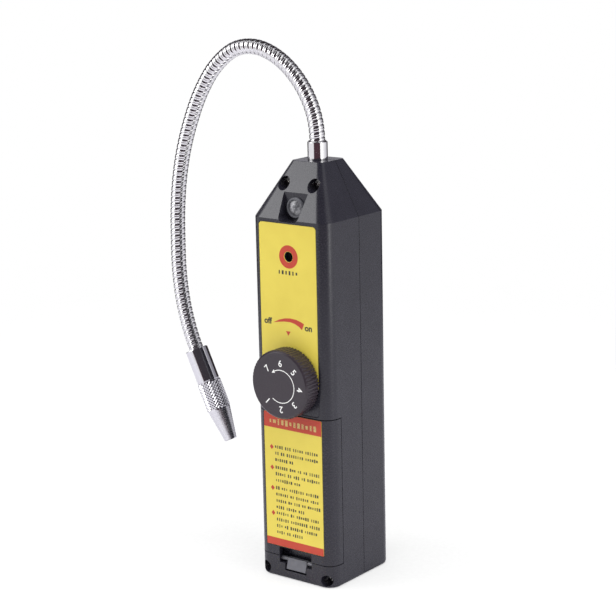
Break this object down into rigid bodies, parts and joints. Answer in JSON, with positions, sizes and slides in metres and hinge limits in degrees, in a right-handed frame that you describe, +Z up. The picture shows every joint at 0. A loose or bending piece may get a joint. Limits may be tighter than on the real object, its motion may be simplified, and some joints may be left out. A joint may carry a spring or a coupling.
{
  "type": "refrigerant leak detector",
  "caption": "Hand-held refrigerant gas leak detector: tapered square housing with a sensitivity dial and battery door, and a sensing tip on a flexible metal neck.",
  "frame": {"origin": "middle of the flat base", "axes": "+Z up along the housing, -Y out of the front with the dial, neck in the XZ plane on the -X side"},
  "size_m": [0.1002, 0.0495, 0.2224],
  "materials": {
    "housing_plastic": "fine satin grain",
    "latch_plastic": "smooth",
    "label_print": "printed vinyl",
    "dial_plastic": "satin, white print",
    "steel": "zinc plated",
    "chrome_metal": "bright plated",
    "board_green": "solder mask",
    "component_black": "moulded",
    "lens_grey": "diffused lens",
    "core_grey": "laminated",
    "coil_copper": "enamelled wire",
    "capacitor_blue": "shrink sleeve",
    "cell_wrap": "shrink sleeve",
    "lead_red": "insulation",
    "ceramic": "smooth"
  },
  "bodies": {
    "housing": {"front_shell": "housing_plastic", "rear_shell": "housing_plastic", "housing_screws": "steel", "upper_label": "label_print", "pot_body": "steel", "pot_washer": "steel", "pot_nut": "steel", "circuit_board": "board_green", "board_screws": "steel", "buzzer": "component_black", "led": "lens_grey", "led_bezel": "component_black", "transformer_core": "core_grey", "transformer_coil": "coil_copper", "capacitors": "capacitor_blue", "control_chip": "component_black", "cell_1": "cell_wrap", "cell_2": "cell_wrap", "cell_3": "cell_wrap", "cell_4": "cell_wrap", "spring_contacts": "steel", "flat_contacts": "steel", "neck_ferrule": "chrome_metal", "neck_nut": "steel", "gooseneck": "chrome_metal", "sensor_lead": "lead_red"},
    "dial": {"knob": "dial_plastic", "pot_shaft": "steel"},
    "door": {"battery_door": "housing_plastic", "door_label": "label_print"},
    "latch": {"door_latch": "latch_plastic"},
    "probe": {"probe_sleeve": "chrome_metal", "sensor_insulator": "ceramic", "sensor_electrode": "steel"},
    "tip": {"tip_cap": "chrome_metal"}
  },
  "joints": [
    {"name": "dial_turn", "type": "hinge", "parent": "housing", "child": "dial", "pos_m": [0, -0.02075, 0.0866], "axis": [0, -1, 0], "range_deg": [-45, 255]},
    {"name": "door_open", "type": "hinge", "parent": "housing", "child": "door", "pos_m": [0, -0.02075, 0.0721], "axis": [-1, 0, 0], "range_deg": [0, 50]},
    {"name": "latch_press", "type": "hinge", "parent": "housing", "child": "latch", "pos_m": [0, -0.0184, 0.0081], "axis": [1, 0, 0], "range_deg": [0, 10], "stiffness_Nm_per_rad": 0.01},
    {"name": "neck_bend", "type": "hinge", "parent": "housing", "child": "probe", "pos_m": [-0.033, 0, 0.2196], "axis": [0, 1, 0], "range_deg": [-4, 45], "deforming": ["gooseneck", "sensor_lead"]},
    {"name": "tip_cap_off", "type": "slide", "parent": "probe", "child": "tip", "axis": [0.4305, 0, -0.9026], "range_m": [0, 0.022]}
  ]
}
